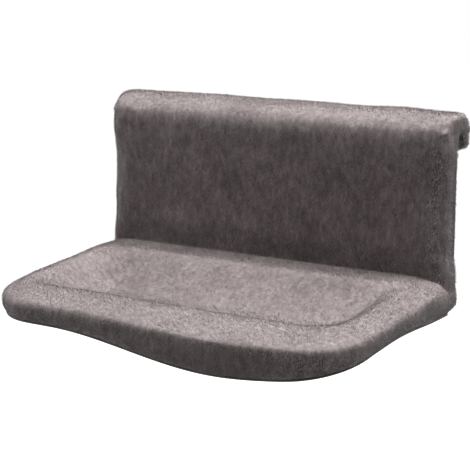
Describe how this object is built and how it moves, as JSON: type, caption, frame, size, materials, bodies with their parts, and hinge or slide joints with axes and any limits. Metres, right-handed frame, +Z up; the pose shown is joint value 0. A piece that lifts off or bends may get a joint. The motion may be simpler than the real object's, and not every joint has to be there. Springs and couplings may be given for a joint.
{
  "type": "radiator cat bed",
  "caption": "Plush radiator bed for a cat: a sagging padded seat on a bent steel tube frame, with an upright back that hooks over the top edge of a radiator.",
  "frame": {"origin": "on the flat underside of the hook, midway across the bed, where the bed bears on the top edge of the radiator", "axes": "+X to the right as seen from the front, +Y towards the radiator, +Z up"},
  "size_m": [0.46, 0.318, 0.2515],
  "materials": {
    "plush": "short-pile plush",
    "lining": "plain woven",
    "wadding": "matte polyester wadding",
    "binding": "woven binding tape",
    "zip_cloth": "woven tape with nylon coils",
    "zip_metal": "satin zinc",
    "frame_steel": "bright zinc plated",
    "fastener_steel": "satin zinc",
    "cap_plastic": "moulded, matte"
  },
  "bodies": {
    "bed": {"side_frame_left": "frame_steel", "side_frame_right": "frame_steel", "front_bow": "frame_steel", "top_bar": "frame_steel", "rear_hook_bar": "frame_steel", "lower_back_bar": "frame_steel", "top_bar_insert_left": "fastener_steel", "top_bar_insert_right": "fastener_steel", "rear_hook_bar_insert_left": "fastener_steel", "rear_hook_bar_insert_right": "fastener_steel", "lower_back_bar_insert_left": "fastener_steel", "lower_back_bar_insert_right": "fastener_steel", "top_bar_screw_left": "fastener_steel", "top_bar_screw_right": "fastener_steel", "rear_hook_bar_screw_left": "fastener_steel", "rear_hook_bar_screw_right": "fastener_steel", "lower_back_bar_screw_left": "fastener_steel", "lower_back_bar_screw_right": "fastener_steel", "bow_connector_left": "fastener_steel", "bow_connector_right": "fastener_steel", "connector_screw_left_front": "fastener_steel", "connector_screw_left_rear": "fastener_steel", "connector_screw_right_front": "fastener_steel", "connector_screw_right_rear": "fastener_steel", "hook_end_cap_left": "cap_plastic", "hook_end_cap_right": "cap_plastic", "back_cover": "plush", "back_lining": "lining", "back_padding": "wadding", "seat_cover": "plush", "seat_padding": "wadding", "seat_underside": "lining", "hem_binding": "binding", "zip_tape_front": "zip_cloth", "zip_tape_rear": "zip_cloth", "zip_teeth": "zip_cloth", "zip_stop_left": "zip_metal", "zip_stop_right": "zip_metal"},
    "slider": {"zip_slider": "zip_metal"},
    "pull": {"zip_pull": "zip_metal"}
  },
  "joints": [
    {"name": "zip_run", "type": "slide", "parent": "bed", "child": "slider", "axis": [1, 0, 0], "range_m": [0, 0.35]},
    {"name": "pull_swing", "type": "hinge", "parent": "slider", "child": "pull", "pos_m": [-0.1752, -0.04958, -0.20247], "axis": [0, 0.9979, 0.0649], "range_deg": [-85, 85]}
  ]
}
